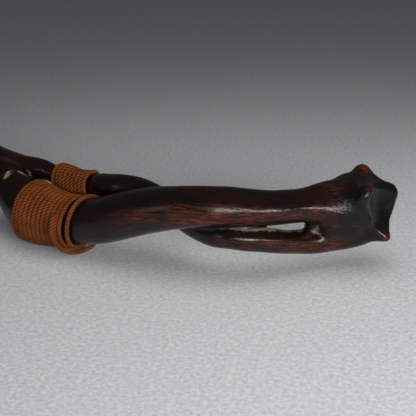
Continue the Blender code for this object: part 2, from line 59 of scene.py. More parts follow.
# Thick strand, from under the head to the burl: along, aside and up in millimetres, radius
STEM = (
    (-192, -2, 29, 0.62 * TRUNK_RADIUS),
    (-174, -3, 16, 0.78 * TRUNK_RADIUS),
    (-154, -4, 5, 0.90 * TRUNK_RADIUS),
    (-134, -4, 1.0, 0.94 * TRUNK_RADIUS),
    (-108, -3.5, 4.0, 0.84 * TRUNK_RADIUS),
    (-84, 0, 9.0, 0.92 * TRUNK_RADIUS),
    (-56, 3, 12.5, 0.84 * TRUNK_RADIUS),
    (-26, 8.5, 17.0, 0.92 * TRUNK_RADIUS),
    (8, 14.0, 17.0, 0.84 * TRUNK_RADIUS),
    (32, 13.0, 12.6, 0.84 * TRUNK_RADIUS),
    (44, 9.0, 9.0, 0.78 * TRUNK_RADIUS),
    (55, 2.8, 5.8, 0.68 * TRUNK_RADIUS),
    (60, -0.8, 2.2, 1.03 * FRONT_RADIUS),
    (65, -4.0, 0.6, 1.14 * FRONT_RADIUS),
    (70, -6.8, 0.3, 1.12 * FRONT_RADIUS),
    (76, -9.2, -0.1, 1.02 * FRONT_RADIUS),
    (90, -13.6, 0.9, 0.94 * FRONT_RADIUS),
    (98, -15.7, 3.1, 0.99 * FRONT_RADIUS),
    (108, -18.2, 7.0, 1.00 * FRONT_RADIUS),
    (119, -21.5, 11.0, 0.95 * FRONT_RADIUS),
    (130, -24.3, 14.0, 0.88 * FRONT_RADIUS),
    (148, -24.6, 15.7, 0.81 * FRONT_RADIUS),
    (165, -19.0, 14.4, 0.72 * FRONT_RADIUS),
    (176, -12.5, 13.8, 0.72 * FRONT_RADIUS),
    (186, -7.5, 13.6, 0.95 * FRONT_RADIUS),
    (196, -4.5, 13.0, 1.10 * FRONT_RADIUS),
    (203, -3.5, 12.5, 0.80 * FRONT_RADIUS),
)

# Thin strand, wound about the thick one: along, degrees from its far side, gap to it, radius
REAR = (
    (-186, 150, -9.0, 1.40 * REAR_RADIUS),
    (-150, 138, -10.5, 1.75 * REAR_RADIUS),
    (-110, 104, -9.5, 1.80 * REAR_RADIUS),
    (-70, 70, -10.0, 1.85 * REAR_RADIUS),
    (-30, 52, -10.0, 1.80 * REAR_RADIUS),
    (8, 50, -9.5, 1.75 * REAR_RADIUS),
    (30, 54, -12.0, 1.50 * REAR_RADIUS),
    (42, 31, -9.4, 1.50 * REAR_RADIUS),
    (49, 18, -4.0, 1.45 * REAR_RADIUS),
    (53, 22, 1.0, 1.18 * REAR_RADIUS),
    (56, 25, 4.3, 0.95 * REAR_RADIUS),
    (60, 27, 5.3, 0.96 * REAR_RADIUS),
    (66, 30, 5.3, 0.93 * REAR_RADIUS),
    (74, 31, 5.5, 0.94 * REAR_RADIUS),
    (82, 33, 5.9, 0.99 * REAR_RADIUS),
    (87, 34, 5.4, 1.10 * REAR_RADIUS),
    (92, 37, 4.0, 1.22 * REAR_RADIUS),
    (98, 37, 1.9, 1.30 * REAR_RADIUS),
    (102, 36, 0.8, 1.32 * REAR_RADIUS),
    (107, 27, 0.2, 1.30 * REAR_RADIUS),
    (114, 6, -0.5, 1.26 * REAR_RADIUS),
    (126, -37, -0.8, 1.22 * REAR_RADIUS),
    (138, -70, -0.6, 1.15 * REAR_RADIUS),
    (147, -97, -0.2, 1.05 * REAR_RADIUS),
    (156, -107, 0.8, 1.04 * REAR_RADIUS),
    (165, -103, 1.9, 1.06 * REAR_RADIUS),
    (172, -96, 3.1, 1.12 * REAR_RADIUS),
    (179, -92, 2.5, 1.26 * REAR_RADIUS),
    (186, -92, -0.8, 1.42 * REAR_RADIUS),
    (194, -94, -3.8, 1.40 * REAR_RADIUS),
    (200, -96, -5.2, 1.20 * REAR_RADIUS),
)

# The cord's diameter, its pitch on each winding, the room under it and where it crosses itself, the
# turns and the stations where they start, degrees of the first turn that are tucked in, and degrees
# from one point of the route to the next
CORD = 1.8 * MM
FRONT_PITCH = CORD + 0.2 * MM
REAR_PITCH = CORD + 0.4 * MM
WINDING_GAP = 0.55 * MM
CROSSING_GAP = 0.2 * MM
FRONT_TURNS = 12
REAR_TURNS = 9
FRONT_START = 64.5
REAR_START = 60.3
TUCK = 210
STEP = 6

# Past the windings: degrees from the far side, millimetres past the winding, layers of cord beneath
LONE_TURN = (
    (180, 0.0, 0), (90, 0.6, 0), (0, 1.2, 0), (-100, 2.4, 0), (-180, 3.5, 0), (-260, 4.1, 0),
    (-335, 5.7, 0),
)
WAY_IN = (
    (267, 20, 2.0), (279, 14, 1.5), (292, 8, 1.2), (310, 3, 1.2), (345, -0.9, 0.9), (395, -1.0, 0.2),
    (440, -0.7, 0),
)
WAY_OUT = ((225, 0, 0), (250, 3.0, 0), (280, 7.0, 0.1))
DIVE = (
    (-8, 7.5, 1.3), (-30, 7.6, 0.7), (-62, 6.4, 0.1), (-84, 4.2, 0.8), (-104, 1.8, 1.1),
    (-125, 0.3, 1.05), (-180, -1.8, 1.0), (-212, -1.6, 0.95),
)


def smooth(stations, along):
    """Values of a table of stations at places along the scepter, on one smooth curve."""
    table = np.array(stations, dtype=float)
    key = table[:, 0]
    value = table[:, 1:]
    slope = np.gradient(value, key, axis=0)
    at = np.clip(np.atleast_1d(along), key[0], key[-1])
    low = np.clip(np.searchsorted(key, at, side="right") - 1, 0, len(key) - 2)
    width = key[low + 1] - key[low]
    t = ((at - key[low]) / width)[:, None]
    width = width[:, None]
    return (
        (2 * t**3 - 3 * t**2 + 1) * value[low]
        + (t**3 - 2 * t**2 + t) * width * slope[low]
        + (3 * t**2 - 2 * t**3) * value[low + 1]
        + (t**3 - t**2) * width * slope[low + 1]
    )


def stem_axis(along):
    """Centre and radius of the thick strand, in metres, from the binding's middle."""
    values = smooth(STEM, along)
    centre = np.column_stack((np.atleast_1d(along), values[:, 0], values[:, 1])) * MM
    return centre, values[:, 2]


def frames(axis, along, reach=0.5):
    """Unit vectors along a strand, to its far side and upward."""
    tangent = axis(along + reach)[0] - axis(along - reach)[0]
    tangent /= np.linalg.norm(tangent, axis=1)[:, None]
    aside = np.cross((0.0, 0.0, 1.0), tangent)
    aside /= np.linalg.norm(aside, axis=1)[:, None]
    return tangent, aside, np.cross(tangent, aside)


def rear_axis(along):
    """Centre and radius of the thin strand, which winds about the thick one."""
    centre, girth = stem_axis(along)
    tangent, aside, up = frames(stem_axis, along)
    angle, gap, radius = smooth(REAR, along).T
    angle = np.radians(angle)[:, None]
    spacing = (girth + radius + gap * MM)[:, None]
    return centre + spacing * (np.cos(angle) * aside + np.sin(angle) * up), radius


def around(axis, along, angle, height, plane=None):
    """Points at an angle round a strand and at a height over its wood.

    They lie square to the strand, or in planes that are square to a whole winding.
    """
    centre, radius = axis(along)
    tangent, aside, up = frames(axis, along)
    if plane is not None:
        middle, reach = plane
        aside, up = frames(axis, np.array([middle]), reach)[1:]
    angle = np.radians(angle)[:, None]
    out = np.cos(angle) * aside + np.sin(angle) * up
    slant = np.sqrt(1 - (out * tangent).sum(axis=1) ** 2)
    return centre + ((radius + height) / slant)[:, None] * out


def wind(axis, plane, rows):
    """The cord's points round a strand, from rows of degrees, station and layers beneath."""
    rows = np.array(rows, dtype=float)
    travel = np.concatenate(([0], np.cumsum(np.abs(np.diff(rows[:, 0])))))
    at = np.linspace(0, travel[-1], round(travel[-1] / STEP) + 1)
    angle, along, layers = smooth(np.column_stack((travel, rows)), at).T
    height = WINDING_GAP + CORD / 2 + (CORD + CROSSING_GAP) * layers
    return around(axis, along, angle, height, plane)


def plane_of(axis, start, length):
    """Middle and half length of a winding's run along a strand; its turns lie square to that run."""
    along = start + np.array((0, length / MM))
    run = np.linalg.norm(np.diff(axis(along)[0], axis=0))
    half = length / run * (along[1] - along[0]) / 2
    return start + half, half


def coil(axis, plane, start, pitch, first, last):
    """The cord's points on a winding with evenly spaced turns, and the station where it ends."""
    middle, half = plane
    way = frames(axis, np.array([middle]), half)[0][0]
    marks = np.linspace(start, start + 3 * half, 200)
    reach = (axis(marks)[0] - axis(marks[:1])[0]) @ way
    angle = np.linspace(first, last, round(abs(last - first) / STEP) + 1)
    along = np.interp(pitch * np.abs(angle - first) / 360, reach, marks)
    return around(axis, along, angle, WINDING_GAP + CORD / 2, plane), along[-1]


def past(station, rows):
    return [(turn, station + further, layers) for turn, further, layers in rows]


front_plane = plane_of(stem_axis, FRONT_START, FRONT_TURNS * FRONT_PITCH)
rear_plane = plane_of(rear_axis, REAR_START, REAR_TURNS * REAR_PITCH)
tucked = LONE_TURN[0][0] + 360 * FRONT_TURNS - TUCK
front_turns, front_end = coil(
    stem_axis, front_plane, FRONT_START, FRONT_PITCH, tucked, LONE_TURN[0][0]
)
rear_turns, rear_end = coil(
    rear_axis, rear_plane, REAR_START + WAY_IN[-1][1], REAR_PITCH,
    WAY_IN[-1][0], WAY_OUT[0][0] + 360 * REAR_TURNS,
)
route = np.concatenate((
    front_turns,
    wind(stem_axis, front_plane, past(front_end, LONE_TURN))[1:],
    wind(rear_axis, rear_plane, past(REAR_START, WAY_IN)),
    rear_turns[1:],
    wind(rear_axis, rear_plane, past(rear_end, WAY_OUT))[1:],
    wind(stem_axis, front_plane, past(front_end, DIVE)),
))

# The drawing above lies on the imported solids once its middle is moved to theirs
packed_low, packed_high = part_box("binding_cord")
resting_place = (np.array(packed_low + packed_high) - route.min(axis=0) - route.max(axis=0)) / 2

# The scepter's wood
# One naturally grown piece of rootwood, carved and scraped smooth, then oiled and rubbed until its high
# places shine. The trunk divides into a thick and a thin strand, which cross and grow together again in
# the knobbed burl at the tail; the three-lobed head is carved from the same piece.
GRAIN_OF_WOOD = 0.78 * MM
SOFTENING = 11
FLUTE_DEPTH = 0.035
FLUTE_TWIST = 0.9
BOUND_MIDDLE = 77
BOUND_HALF = 15
BURL_CENTRE = (195, -4, 12)
# Knobs of the burl: tip along, aside and up, radius at the tip and at the burl's centre
KNOBS = (
    (196.4, 3.5, 25.6, 2.8, 8.5),
    (189.0, 0.0, 22.0, 4.0, 8.0),
    (209.4, 3.5, 16.4, 3.0, 8.5),
    (209.2, -10.2, 1.4, 2.8, 5.0),
    (200.2, -16.6, 22.6, 4.2, 7.2),
    (203.5, 6.5, 4.0, 3.4, 8.0),
    (196.5, -8.0, -1.0, 3.6, 8.0),
)
# Ridges between knobs: from, to, radius, and how far they lie in from the tips
RIDGES = (
    (0, 2, 2.6, 0.22),
    (2, 3, 2.4, 0.22),
    (2, 5, 3.0, 0.25),
    (5, 3, 3.0, 0.25),
    (6, 3, 2.8, 0.22),
    (0, 4, 2.2, 0.30),
)
# Where wood fills the clefts between limbs: from, to, radius, softness
WEBS = (
    ((179.4, -10.5, 6.0), (197.0, -7.0, 8.0), 3.3, 2.5),
    ((187.0, -11.0, 6.0), (198.0, -8.5, 6.0), 5.0, 2.5),
    ((0.0, 16.0, 21.0), (58.0, 4.2, 11.0), 5.8, 1.0),
    ((40.0, 12.0, 10.0), (58.6, 15.6, 8.2), 3.3, 3.0),
)
# Twig stubs: along, degrees from the far side, length and tip radius
STUBS = ((-106, 30, 5.0, 2.8), (-70, 150, 5.0, 3.0), (-34, 70, 5.5, 2.6), (2, 205, 4.5, 2.8))
STUB_LEAN = 0.3
STUB_ROOT = 2.0
FOOT_RADIUS = 11
FOOT_PLACE = -135
FOOT_ASIDE = 3.5
FOOT_DEPTH = 3
NECK_PLACE = -152
# The worn dish in the burl's end: along, aside, up, radius
DISHES = ((213.4, -12.4, 16.2, 13.2), (212.4, -12.8, 10.6, 9.6))
# How softly limbs grow together: along the two strands, and for knobs, ridges, stubs and dish
MERGING = (
    (-190, 3), (20, 4), (36, 8), (47, 6), (52, 1.5), (57, 0.6), (165, 0.6), (176, 2), (186, 5),
)
KNOB_BLEND = 4.0
RIDGE_BLEND = 3.0
STUB_BLEND = 4.0
DISH_BLEND = 3.0
# How the softened surface settles on the drawn limbs: passes, longest step, share of evening out, and
# the way over which this fades out under the head
SETTLING = 8
SETTLING_STEP = 0.8 * MM
EVENING = 0.35
HEAD_FADE = 10 * MM
# The dish's edge is rubbed round afterwards: width in millimetres, passes and share
DISH_EDGE = 2.2
DISH_PASSES = 14
DISH_EVENING = 0.6
HEAD_LENGTH = 70 * MM
HEAD_WIDTH = 80 * MM
HEAD_THICKNESS = 15 * MM
HEAD_TILT = math.radians(25)
HEAD_CENTRE = (-180, -2, 34)
HEAD_LOBES = ((0.34, 0.0, 0.66), (-0.34, 0.46, 0.54), (-0.34, -0.46, 0.54))
HEAD_FILL = 14
HEAD_PROFILE = (
    (0.00, -0.30), (0.45, -0.34), (0.80, -0.26), (0.96, -0.06), (1.00, 0.16), (0.97, 0.36),
    (0.88, 0.47), (0.78, 0.46), (0.70, 0.40), (0.60, 0.46), (0.40, 0.61), (0.18, 0.69), (0.00, 0.70),
)


def add_rings(shape, rings):
    """Skin a row of rings, whose first and last are single points, as one closed surface."""
    loops = [[shape.verts.new(point) for point in ring] for ring in rings]
    for one, two in zip(loops, loops[1:]):
        count = max(len(one), len(two))
        for i in range(count):
            j = (i + 1) % count
            if len(one) == 1:
                shape.faces.new((one[0], two[i], two[j]))
            elif len(two) == 1:
                shape.faces.new((one[i], two[0], one[j]))
            else:
                shape.faces.new((one[i], two[i], two[j], one[j]))


def add_strand(shape, axis, first, last, sides, step=1.5):
    """Strand along an axis, softly three-sided with a slow twist, round at both ends."""
    along = np.linspace(first, last, round((last - first) / step) + 1)
    centre, radius = axis(along)
    tangent, aside, up = frames(axis, along)
    turn = np.arange(sides) * 2 * math.pi / sides
    twist = along * math.radians(FLUTE_TWIST)
    depth = FLUTE_DEPTH * np.clip(np.abs(along - BOUND_MIDDLE) / BOUND_HALF - 1, 0, 1)
    flute = 1 + depth[:, None] * np.cos(3 * (turn[None, :] - twist[:, None]))
    out = (
        np.cos(turn)[None, :, None] * aside[:, None, :]
        + np.sin(turn)[None, :, None] * up[:, None, :]
    )
    rings = list(centre[:, None, :] + (radius[:, None] * flute)[:, :, None] * out)
    for end, way in ((0, -1), (-1, 1)):
        cap = []
        for bend in (30, 60):
            shrink = math.cos(math.radians(bend))
            push = math.sin(math.radians(bend)) * radius[end] * way * tangent[end]
            cap.append(centre[end] + push + (rings[end] - centre[end]) * shrink)
        cap.append([centre[end] + way * radius[end] * tangent[end]])
        rings = cap[::-1] + rings if way < 0 else rings + cap
    add_rings(shape, rings)


def tapered(share, root_radius, tip_radius):
    """Radius of a limb at a share of its length, which narrows faster near its root."""
    return tip_radius + (root_radius - tip_radius) * (1 - share) ** 1.4


def add_knob(shape, root, tip, root_radius, tip_radius, sides=24):
    """Tapering stub with a round tip, from inside the wood outward."""
    way = tip - root
    length = np.linalg.norm(way)
    way /= length
    square = np.cross(way, (0.3, 0.9, 0.2))
    square /= np.linalg.norm(square)
    other = np.cross(way, square)
    outline = [
        (share * (length - tip_radius), tapered(share, root_radius, tip_radius))
        for share in np.linspace(0, 1, 8)
    ]
    for bend in np.radians((22, 45, 68)):
        outline.append((length - tip_radius * (1 - math.sin(bend)), tip_radius * math.cos(bend)))
    rings = [[root - way * root_radius * 0.5]]
    for reach, radius in outline:
        rings.append([
            root + way * reach + radius * (math.cos(turn) * square + math.sin(turn) * other)
            for turn in np.arange(sides) * 2 * math.pi / sides
        ])
    rings.append([root + way * length])
    add_rings(shape, rings)


def head_outline(turn):
    """Distance from the head's centre to its outline, the outer edge of three round lobes."""
    total = np.zeros(len(turn))
    for forward, across, radius in HEAD_LOBES:
        near = forward * np.cos(turn) + across * np.sin(turn)
        room = radius**2 - forward**2 - across**2 + near**2
        reach = near + np.sqrt(np.maximum(room, 0))
        total += np.where((room > 0) & (reach > 0), np.abs(reach), 0) ** HEAD_FILL
    return total ** (1 / HEAD_FILL)


def add_head(shape, sides=144):
    """Three-lobed head, a domed plate with a rolled rim, tilted to look up and towards the tail."""
    centre = np.array(HEAD_CENTRE) * MM
    forward = np.array((-math.cos(HEAD_TILT), 0, math.sin(HEAD_TILT)))
    across = np.array((0, 1, 0))
    face = np.cross(across, forward)
    turn = np.arange(sides) * 2 * math.pi / sides
    reach = head_outline(turn)
    plan = (
        (reach * np.cos(turn) * HEAD_LENGTH / 2)[:, None] * forward
        + (reach * np.sin(turn) * HEAD_WIDTH / 2)[:, None] * across
    )
    rings = []
    for share, height in HEAD_PROFILE:
        middle = centre + face * height * HEAD_THICKNESS
        rings.append([middle] if share == 0 else list(middle + plan * share))
    add_rings(shape, rings)


def limbs():
    """Every limb but the strands: from, to, radius at either end, and how softly it grows on."""
    burl = np.array(BURL_CENTRE) * MM
    tips = [np.array(knob[:3]) * MM for knob in KNOBS]
    rows = [
        (burl, tip, knob[4] * MM, knob[3] * MM, KNOB_BLEND) for tip, knob in zip(tips, KNOBS)
    ]
    for one, two, radius, sink in RIDGES:
        inner = tips[one] + (burl - tips[one]) * sink
        outer = tips[two] + (burl - tips[two]) * sink
        rows.append((inner, outer, radius * MM, radius * MM, RIDGE_BLEND))
    for inner, outer, radius, soft in WEBS:
        rows.append((np.array(inner) * MM, np.array(outer) * MM, radius * MM, radius * MM, soft))
    for place, angle, length, radius in STUBS:
        root = stem_axis(np.array([place]))[0][0]
        leaning = np.array([place + length * STUB_LEAN])
        tip = around(stem_axis, leaning, np.array([angle]), np.array([length * MM]))[0]
        rows.append((root, tip, radius * MM * STUB_ROOT, radius * MM, STUB_BLEND))
    heel = stem_axis(np.array([FOOT_PLACE]))[0][0]
    sole = np.array((heel[0], FOOT_ASIDE * MM, -FOOT_DEPTH * MM - resting_place[2]))
    rows.append((heel, sole, FOOT_RADIUS * MM, FOOT_RADIUS * MM, STUB_BLEND))
    return rows


def wood_rough():
    """All the limbs of the wood in their resting place, still overlapping one another."""
    shape = bmesh.new()
    add_strand(shape, stem_axis, STEM[0][0], STEM[-1][0], sides=48)
    add_strand(shape, rear_axis, REAR[0][0], REAR[-1][0], sides=36)
    for inner, outer, root_radius, tip_radius, _ in limbs():
        add_knob(shape, inner, outer, root_radius, tip_radius)
    add_head(shape)
    bmesh.ops.translate(shape, vec=resting_place, verts=shape.verts)
    bmesh.ops.recalc_face_normals(shape, faces=shape.faces)
    return shape


def settled(piece):
    """The piece's mesh with its modifiers applied, as a new mesh."""
    bpy.context.view_layer.update()
    graph = bpy.context.evaluated_depsgraph_get()
    return bpy.data.meshes.new_from_object(piece.evaluated_get(graph))


def mesh_points(mesh, normals=False):
    flat = np.empty(len(mesh.vertices) * 3, dtype=np.float32)
    if normals:
        mesh.vertex_normals.foreach_get("vector", flat)
    else:
        mesh.vertices.foreach_get("co", flat)
    return flat.reshape(-1, 3).astype(float)


def neighbour_mean(mesh):
    """A function that gives each vertex the mean of a value at its neighbours."""
    ends = np.empty(len(mesh.edges) * 2, dtype=np.int32)
    mesh.edges.foreach_get("vertices", ends)
    one, two = ends.reshape(-1, 2).T
    source = np.concatenate((one, two))
    other = np.concatenate((two, one))
    count = np.bincount(source, minlength=len(mesh.vertices))

    def mean(values):
        total = [np.bincount(source, column[other], len(count)) / count for column in values.T]
        return np.column_stack(total)

    return mean


def balls_along(axis, table):
    """A strand as a row of balls, and their stations."""
    along = np.arange(table[0][0], table[-1][0] + 0.25, 0.5)
    centre, radius = axis(along)
    return centre + resting_place, radius, along


def balls_between(inner, outer, inner_radius, outer_radius, count=24):
    """A limb as a row of balls from one point to another, narrowing on the way."""
    share = np.linspace(0, 1, count)
    reach = share * (1 - outer_radius / np.linalg.norm(outer - inner))
    centre = inner + reach[:, None] * (outer - inner) + resting_place
    return centre, tapered(share, inner_radius, outer_radius)


def nearest_ball(points, centre, radius, batch=4000):
    """Which ball of a row lies nearest to each point, found in batches to spare memory."""
    nearest = np.empty(len(points), dtype=int)
    for start in range(0, len(points), batch):
        part = points[start:start + batch]
        square = (part**2).sum(axis=1)[:, None] + (centre**2).sum(axis=1) - 2 * part @ centre.T
        nearest[start:start + batch] = (np.sqrt(np.maximum(square, 0)) - radius).argmin(axis=1)
    return nearest


def strand_place(axis, table, points):
    """Each point's nearest station on a strand, height over its wood, angle and way out."""
    centre, radius, along = balls_along(axis, table)
    nearest = nearest_ball(points, centre, radius)
    aside, up = frames(axis, along)[1:]
    away = points - centre[nearest]
    height = np.linalg.norm(away, axis=1) - radius[nearest]
    angle = np.arctan2((away * up[nearest]).sum(axis=1), (away * aside[nearest]).sum(axis=1))
    return along[nearest], height, np.degrees(angle) % 360, away


def waves(places, count, seed):
    """Smooth, even-tempered unevenness from a few crossing waves, about -1 to 1."""
    pick = np.random.default_rng(seed)
    total = np.zeros(len(places))
    for _ in range(count):
        way = pick.normal(size=places.shape[1])
        way *= pick.uniform(0.6, 1.4) / np.linalg.norm(way)
        total += np.sin(places @ way + pick.uniform(0, 2 * math.pi))
    return total / math.sqrt(count)


def from_balls(points, centre, radius):
    """Height of each point over a row of balls, the way out of them, and the nearest ball."""
    nearest = nearest_ball(points, centre, radius)
    away = points - centre[nearest]
    length = np.linalg.norm(away, axis=1)
    return length - radius[nearest], away / length[:, None], nearest


def grown_together(one, two, reach):
    """Soft union of two heights with their ways out."""
    share = np.clip(0.5 + 0.5 * (two[0] - one[0]) / reach, 0, 1)
    height = two[0] + (one[0] - two[0]) * share - reach * share * (1 - share)
    return height, two[1] + (one[1] - two[1]) * share[:, None]


def wood_height(points):
    """Height of each point over the finished wood, and the way out of it."""
    stem_centre, stem_radius, stations = balls_along(stem_axis, STEM)
    stem = from_balls(points, stem_centre, stem_radius)
    rear = from_balls(points, *balls_along(rear_axis, REAR)[:2])
    soft = np.interp(stations[stem[2]], *zip(*MERGING)) * MM
    field = grown_together(stem[:2], rear[:2], soft)
    for inner, outer, root_radius, tip_radius, soft in limbs():
        row = balls_between(inner, outer, root_radius, tip_radius)
        field = grown_together(field, from_balls(points, *row)[:2], soft * MM)
    for along, aside, up, radius in DISHES:
        away = points - (np.array((along, aside, up)) * MM + resting_place)
        length = np.linalg.norm(away, axis=1)
        scooped = grown_together(
            (-field[0], -field[1]), (length - radius * MM, away / length[:, None]), DISH_BLEND * MM
        )
        field = (-scooped[0], -scooped[1])
    return field


rough = bpy.data.meshes.new("rough_wood")
shape = wood_rough()
shape.to_mesh(rough)
shape.free()
block = bpy.data.objects.new("rough_wood", rough)
bpy.context.scene.collection.objects.link(block)
fuse = block.modifiers.new("fuse", "REMESH")
fuse.mode = "VOXEL"
fuse.voxel_size = GRAIN_OF_WOOD
wood_mesh = settled(block)
wood_mesh.name = "carved_rootwood"
bpy.data.objects.remove(block)

points = mesh_points(wood_mesh)
mean = neighbour_mean(wood_mesh)
for _ in range(SOFTENING):
    points = (points + mean(points)) / 2
neck = np.array([NECK_PLACE])
below = ((points - stem_axis(neck)[0] - resting_place) * frames(stem_axis, neck)[0]).sum(axis=1)
below_head = np.clip(below / HEAD_FADE, 0, 1)[:, None]
for _ in range(SETTLING):
    height, way = wood_height(points)
    step = (height / (way**2).sum(axis=1))[:, None] * way * below_head
    points = points - np.clip(step, -SETTLING_STEP, SETTLING_STEP)
    points = points + (mean(points) - points) * EVENING
edge = np.zeros(len(points))
for along, aside, up, radius in DISHES:
    spot = np.array((along, aside, up)) * MM + resting_place
    gap = np.linalg.norm(points - spot, axis=1) / MM - radius
    edge = np.maximum(edge, np.exp(-((gap / DISH_EDGE) ** 2)))
for _ in range(DISH_PASSES):
    points = points + (mean(points) - points) * DISH_EVENING * edge[:, None]
wood_mesh.vertices.foreach_set("co", points.astype(np.float32).ravel())
wood_mesh.update()

# Uneven scraping: long shallow facets that follow the strands, a crest along each, cuts and small
# ripples, whose depths are in millimetres, and none of it within a little of the floor
SCRAPE_DEPTH = 0.14
RIPPLE_DEPTH = 0.05
FLOOR_CLEARANCE = 2.5 * MM
# Crest or flat of a strand: station, degrees from the far side, height, half width in degrees
FRONT_CREST = (
    (139, 184, 0.0, 22), (147, 178, 0.35, 21), (154, 173, 0.55, 20), (162, 170, 0.65, 20),
    (174, 169, 0.75, 19), (181, 176, 0.8, 19), (187, 188, 0.7, 19), (193, 192, 0.3, 20),
    (198, 195, 0.0, 20),
)
FRONT_FLAT = (
    (104, 128, 0.0, 30), (118, 124, -0.2, 30), (140, 128, -0.3, 30), (158, 134, -0.5, 28),
    (176, 134, -0.6, 26), (186, 140, -0.3, 26), (194, 150, 0.0, 26),
)
REAR_CREST = (
    (144, 156, 0.0, 24), (152, 157, 0.35, 22), (160, 154, 0.5, 20), (170, 152, 0.5, 20),
    (178, 163, 0.4, 22), (186, 170, 0.0, 24),
)
REAR_LEDGE = (
    (154, 92, 0.0, 30), (159, 92, 1.4, 30), (164, 92, 1.1, 30), (169, 92, 0.3, 30),
    (175, 92, 0.0, 30),
)
# Cuts with raised lips: points along, aside and up, depth and half width in millimetres, dust in them.
# Those less than nothing deep are ridges.
CUTS = (
    (((50.6, -4.5, 12.6), (53.4, -0.4, 13.7), (56.5, 3.1, 14.4), (59.6, 4.2, 13.2), (63.0, 4.8, 10.6)),
     0.8, 0.9, 1.1),
    (((186.0, -9.5, 21.6), (190.5, -11.5, 21.6), (195.0, -15.5, 21.0)), 0.5, 1.3, 0.0),
    (((200.0, -13.4, 9.5), (203.5, -11.2, 5.6), (207.0, -10.2, 2.8)), -0.8, 1.3, 0.0),
    (((195.2, -16.6, 18.6), (199.0, -19.6, 22.0)), -0.5, 1.3, 0.0),
)


def crest(angle, at, table):
    """Height that a crest adds at angles round a strand, from its table of stations."""
    middle, height, half = smooth(table, at).T
    gap = np.abs((angle - middle + 180) % 360 - 180)
    inside = (at > table[0][0]) & (at < table[-1][0])
    return inside * height * np.exp(-((gap / half) ** 2))


def cut(points, line, depth, half):
    """Height that a cut takes away along a line, with a low lip at either side."""
    line = np.array(line) * MM + resting_place
    gap = np.full(len(points), 1.0)
    for one, two in zip(line, line[1:]):
        run = two - one
        share = np.clip((points - one) @ run / (run @ run), 0, 1)
        gap = np.minimum(gap, np.linalg.norm(points - one - share[:, None] * run, axis=1))
    wide = gap / (half * MM)
    lip = 0.2 * max(depth, 0) * np.exp(-((wide - 2) ** 2))
    return lip - depth * np.exp(-(wide**2))


normal = mesh_points(wood_mesh, normals=True)
stem_at, stem_height, stem_angle, stem_away = strand_place(stem_axis, STEM, points)
rear_at, rear_height, rear_angle, rear_away = strand_place(rear_axis, REAR, points)
on_rear = 1 / (1 + np.exp((rear_height - stem_height) / (0.8 * MM)))
at = stem_at * (1 - on_rear) + rear_at * on_rear
turn = np.radians(stem_angle)
rear_turn = np.radians(rear_angle)
lie = np.column_stack((stem_at / 14, 1.6 * np.cos(turn), 1.6 * np.sin(turn)))
rear_lie = np.column_stack((rear_at / 11, 1.3 * np.cos(rear_turn), 1.3 * np.sin(rear_turn)))
scraped = waves(lie, 7, 3) * (1 - on_rear) + waves(rear_lie, 6, 5) * on_rear
ripple = waves(points / MM * 0.55, 9, 8)
free = np.clip(points[:, 2] / FLOOR_CLEARANCE, 0, 1)
bound = np.clip(np.abs(at - BOUND_MIDDLE) / BOUND_HALF - 1, 0, 1)
lift = SCRAPE_DEPTH * scraped + RIPPLE_DEPTH * ripple
for table in (FRONT_CREST, FRONT_FLAT):
    lift += crest(stem_angle, stem_at, table) * (1 - on_rear)
for table in (REAR_CREST, REAR_LEDGE):
    lift += crest(rear_angle, rear_at, table) * on_rear
lift *= bound
cleft = np.zeros(len(points))
for line, depth, half, dust in CUTS:
    carved = cut(points, line, depth, half)
    cleft = np.maximum(cleft, -dust * carved / depth)
    lift += carved
points = points + normal * (lift * MM * free)[:, None]
points[:, 2] = np.maximum(points[:, 2], 0)
wood_mesh.vertices.foreach_set("co", points.astype(np.float32).ravel())
wood_mesh.update()
wood_mesh.shade_smooth()

# What the finish reads: the run of the grain, places where dust stays, rubbed places, the scratched
# one, and how dark the burl is. Soft places: along, aside and up, reach, and how much shows
RED_PLACES = (
    (197.0, 0.0, 26.0, 3.2, 0.8), (201.0, -14.0, 24.5, 3.6, 0.9), (209.0, -12.0, 1.5, 3.6, 0.9),
    (196.0, -12.5, 8.0, 2.2, 0.5), (186.0, -10.0, 21.0, 4.0, 0.35),
)
SCRATCHED_PLACE = (192.0, -15.0, 14.5, 6.0, 1.0)
DUSTY_PLACE = (180.5, -13.5, 5.0, 4.5, 1.0)
# Bands round a strand: middle and half width in degrees, the stations where the band starts, is full,
# fades and ends, and how much shows. The thin strand's top stays dusty under the thick one.
FRONT_RUBBED = ((195, 48, 104, 126, 178, 190, 1.0), (150, 45, -190, -160, 10, 40, 0.55))
REAR_RUBBED = ((205, 60, 140, 150, 184, 194, 1.0),)
REAR_DUSTY = ((88, 42, 143, 148, 162, 166, 1.0), (88, 42, 162, 166, 174, 182, 0.62))
# Dust in the crotch between the strands: how near both must be, stations, and how much shows
CROTCH_REACH = 2.2 * MM
CROTCH_RUN = (166, 172, 182, 188)
CROTCH_DUST = 0.55
# The burl is dark to this many millimetres from its centre, over this fade, and from this station on
BURL_DARK = 26
BURL_FADE = 8
BURL_FROM = 176
BURL_FULL = 186


def store(mesh, name, values):
    kind = "FLOAT_VECTOR" if values.ndim == 2 else "FLOAT"
    field = mesh.attributes.new(name, kind, "POINT")
    key = "vector" if values.ndim == 2 else "value"
    field.data.foreach_set(key, values.astype(np.float32).ravel())


def span(at, start, full, fade, end):
    return np.clip((at - start) / (full - start), 0, 1) * np.clip((end - at) / (end - fade), 0, 1)


def bands(angle, at, table):
    """How much the bands of a table show at angles and stations of a strand."""
    total = np.zeros(len(at))
    for middle, half, *run, amount in table:
        gap = np.abs((angle - middle + 180) % 360 - 180)
        total += amount * np.clip(1.4 * (1 - gap / half), 0, 1) * span(at, *run)
    return total


def soft_place(points, along, aside, up, reach, amount):
    """How much a soft place shows at each point."""
    away = points - resting_place - np.array((along, aside, up)) * MM
    gap = np.linalg.norm(away, axis=1) / (reach * MM)
    return amount * np.exp(-(gap**2))


